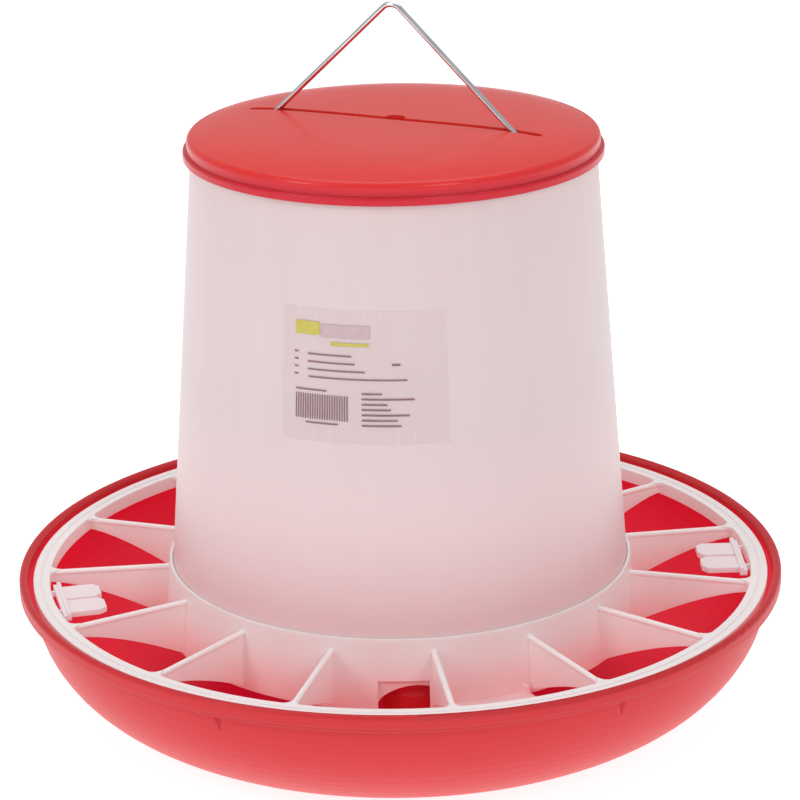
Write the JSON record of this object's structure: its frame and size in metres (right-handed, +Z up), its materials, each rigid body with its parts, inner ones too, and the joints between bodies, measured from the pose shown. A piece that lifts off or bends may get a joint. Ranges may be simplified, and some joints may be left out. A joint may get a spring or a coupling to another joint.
{
  "type": "hanging poultry hopper with grilled pan",
  "caption": "Round pan with a radial fin grille, a tapered translucent hopper, a slotted lid and a wire bail to hang it by.",
  "frame": {"origin": "centre of the pan's flat base, on the surface it stands on", "axes": "+Z up along the axis of the hopper; -Y towards the label side; the bail lies in a vertical plane 24.5 degrees clockwise from +X"},
  "size_m": [0.42, 0.42, 0.3857],
  "materials": {
    "red_plastic": "moulded red polypropylene, satin gloss",
    "red_lid_plastic": "moulded red polypropylene, glossy",
    "white_plastic": "moulded natural white polypropylene, slightly see-through",
    "translucent_plastic": "moulded natural polypropylene, milky and translucent",
    "bright_wire": "bright zinc-plated steel wire",
    "clear_film": "clear self-adhesive film with plain grey print bars"
  },
  "bodies": {
    "pan": {"pan": "red_plastic"},
    "hopper": {"hopper": "translucent_plastic", "label": "clear_film"},
    "grille": {"grille": "white_plastic", "spare_clip_left": "white_plastic", "spare_clip_right": "white_plastic"},
    "lid": {"lid": "red_lid_plastic"},
    "bail": {"bail": "bright_wire"}
  },
  "joints": [
    {"name": "hopper_lift", "type": "slide", "parent": "pan", "child": "hopper", "axis": [0, 0, 1], "range_m": [0, 0.06]},
    {"name": "grille_lift", "type": "slide", "parent": "hopper", "child": "grille", "axis": [0, 0, 1], "range_m": [0, 0.35]},
    {"name": "lid_lift", "type": "slide", "parent": "hopper", "child": "lid", "axis": [0, 0, 1], "range_m": [0, 0.09]},
    {"name": "bail_swing", "type": "hinge", "parent": "hopper", "child": "bail", "pos_m": [0, 0, 0.3067], "axis": [0.91, -0.4147, 0], "range_deg": [-3, 3]}
  ]
}
